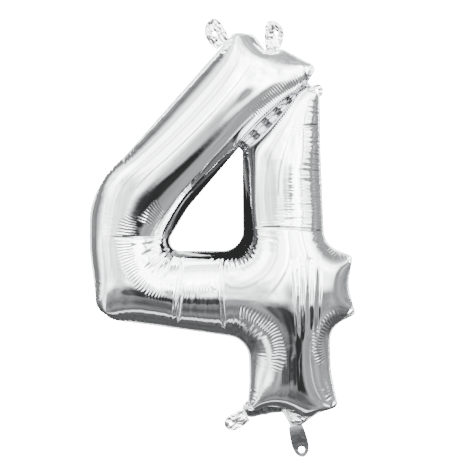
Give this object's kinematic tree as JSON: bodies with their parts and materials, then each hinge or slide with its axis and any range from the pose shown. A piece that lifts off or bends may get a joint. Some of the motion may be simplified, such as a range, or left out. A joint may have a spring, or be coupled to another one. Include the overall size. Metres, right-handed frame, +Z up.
{
  "type": "foil number balloon",
  "caption": "Inflated mirror-silver foil number balloon, figure four, with welded seam, window, hang tabs and filling tail.",
  "frame": {"origin": "centre of the hole in the left hang tab, in the plane of the weld seam", "axes": "+X to the figure's right, +Z up the figure, -Y towards its front"},
  "size_m": [0.2416, 0.0752, 0.396],
  "materials": {
    "foil": "mirror metallised film",
    "flap_foil": "crinkled metallised film",
    "valve_film": "clear thin film"
  },
  "bodies": {
    "balloon": {"front_foil_panel": "foil", "back_foil_panel": "foil", "valve_front_film": "valve_film", "valve_back_film": "valve_film"},
    "left_hang_tab": {"left_hang_tab": "flap_foil"},
    "right_hang_tab": {"right_hang_tab": "flap_foil"},
    "notch_tab": {"notch_tab": "flap_foil"},
    "lower_left_tab": {"lower_left_tab": "flap_foil"},
    "filling_tail": {"filling_tail": "flap_foil"}
  },
  "joints": [
    {"name": "left_hang_tab_crease", "type": "hinge", "parent": "balloon", "child": "left_hang_tab", "pos_m": [0.00771, 0, -0.00919], "axis": [0.766, 0, 0.6428], "range_deg": [-90, 90], "stiffness_Nm_per_rad": 0.0002},
    {"name": "right_hang_tab_crease", "type": "hinge", "parent": "balloon", "child": "right_hang_tab", "pos_m": [0.05182, 0, -0.01681], "axis": [0.9659, 0, -0.2588], "range_deg": [-90, 90], "stiffness_Nm_per_rad": 0.0002},
    {"name": "notch_tab_crease", "type": "hinge", "parent": "balloon", "child": "notch_tab", "pos_m": [0.08851, 0, -0.05218], "axis": [0, 0, -1], "range_deg": [-90, 90], "stiffness_Nm_per_rad": 0.0002},
    {"name": "lower_left_tab_crease", "type": "hinge", "parent": "balloon", "child": "lower_left_tab", "pos_m": [0.02901, 0, -0.34858], "axis": [-0.4848, 0, 0.8746], "range_deg": [-90, 90], "stiffness_Nm_per_rad": 0.0002},
    {"name": "filling_tail_crease", "type": "hinge", "parent": "balloon", "child": "filling_tail", "pos_m": [0.07411, 0, -0.35858], "axis": [-0.9677, 0, -0.2521], "range_deg": [-90, 90], "stiffness_Nm_per_rad": 0.0002}
  ]
}
